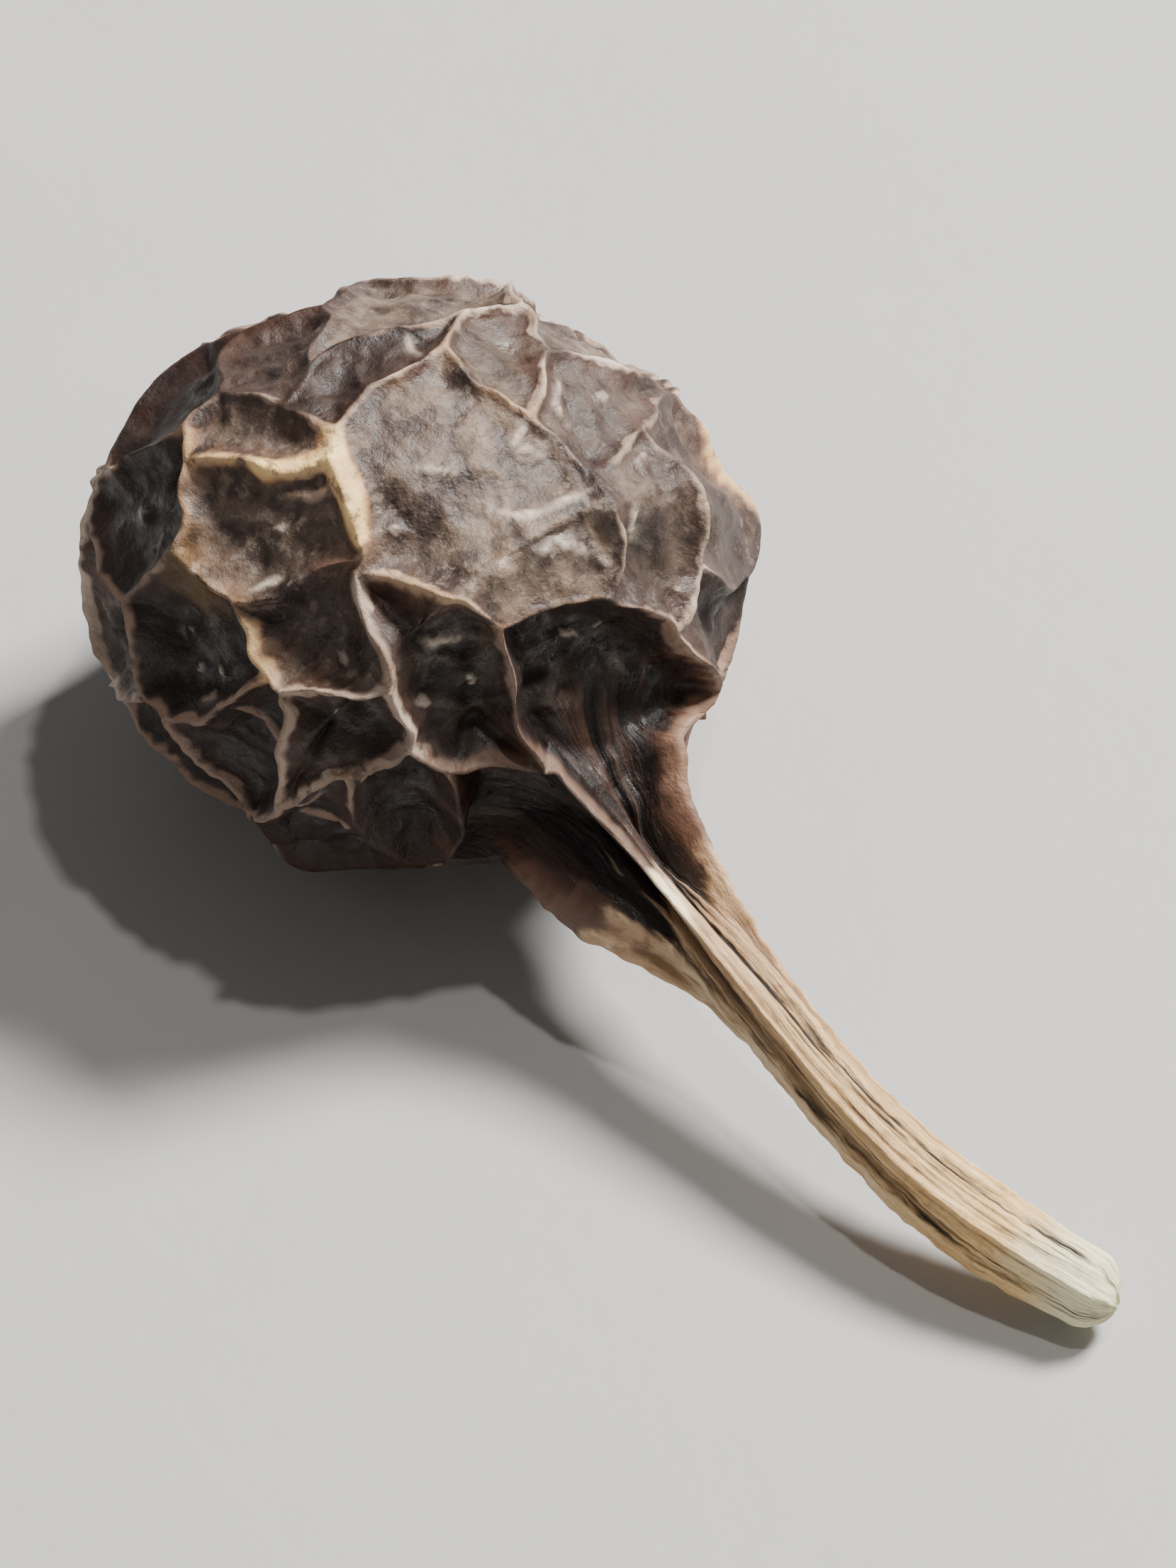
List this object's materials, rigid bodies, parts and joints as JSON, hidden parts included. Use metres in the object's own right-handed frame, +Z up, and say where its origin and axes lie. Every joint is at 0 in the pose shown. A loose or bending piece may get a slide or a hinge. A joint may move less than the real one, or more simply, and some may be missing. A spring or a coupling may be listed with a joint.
{
  "type": "cubeb pepper",
  "caption": "Dried cubeb berry lying on its side: a round wrinkled head with a raised net of ridges, drawn out into a long bent stalk with a pale tip.",
  "frame": {"origin": "middle of the small flat spot under the head, where the berry rests", "axes": "+Z up, +X from the head along the stalk in plan, +Y the side that the stalk's end bends towards"},
  "size_m": [0.0111, 0.0054, 0.0049],
  "materials": {
    "dried_skin": "dry wrinkled skin, dull, dark brown on the head and tan along the stalk"
  },
  "bodies": {
    "root": {"cubeb_pepper": "dried_skin"}
  },
  "joints": []
}
